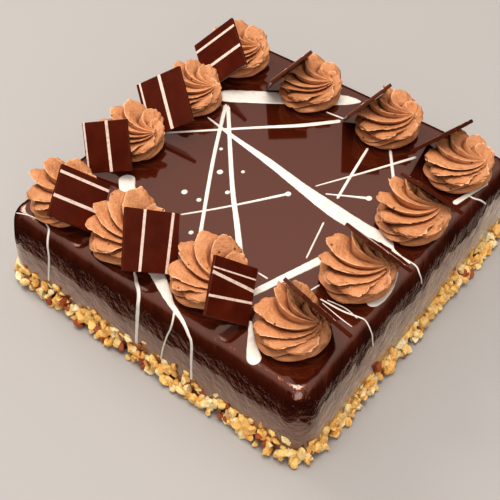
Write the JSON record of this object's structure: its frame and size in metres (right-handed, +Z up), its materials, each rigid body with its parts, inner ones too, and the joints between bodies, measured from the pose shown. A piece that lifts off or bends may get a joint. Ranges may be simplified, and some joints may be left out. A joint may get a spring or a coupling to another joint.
{
  "type": "fudge gateau",
  "caption": "Uncut square gateau with rounded edges under poured glaze, ringed by piped buttercream swirls with leaning chocolate squares, drizzled on top and banked with chopped nuts.",
  "frame": {"origin": "centre of the flat underside, in the plane of the table", "axes": "+Z up; +X along the front-left side towards the front corner of the picture, 220 mm without the nuts; +Y along the front-right side towards the right corner, 229 mm without the nuts"},
  "size_m": [0.235, 0.244, 0.1029],
  "materials": {
    "chocolate_glaze": "glossy poured dark chocolate glaze, with white chocolate drizzle and golden chopped nuts fused to it",
    "buttercream": "satin piped milk chocolate buttercream",
    "plaque_chocolate": "smooth dark chocolate with cream stripes"
  },
  "bodies": {
    "root": {"gateau": "chocolate_glaze", "rosette_01": "buttercream", "rosette_02": "buttercream", "rosette_03": "buttercream", "rosette_04": "buttercream", "rosette_05": "buttercream", "rosette_06": "buttercream", "rosette_07": "buttercream", "rosette_08": "buttercream", "rosette_09": "buttercream", "rosette_10": "buttercream", "rosette_11": "buttercream", "rosette_12": "buttercream", "plaque_01": "plaque_chocolate", "plaque_02": "plaque_chocolate", "plaque_03": "plaque_chocolate", "plaque_04": "plaque_chocolate", "plaque_05": "plaque_chocolate", "plaque_06": "plaque_chocolate", "plaque_07": "plaque_chocolate", "plaque_08": "plaque_chocolate", "plaque_09": "plaque_chocolate", "plaque_10": "plaque_chocolate", "plaque_11": "plaque_chocolate", "plaque_12": "plaque_chocolate"}
  },
  "joints": []
}
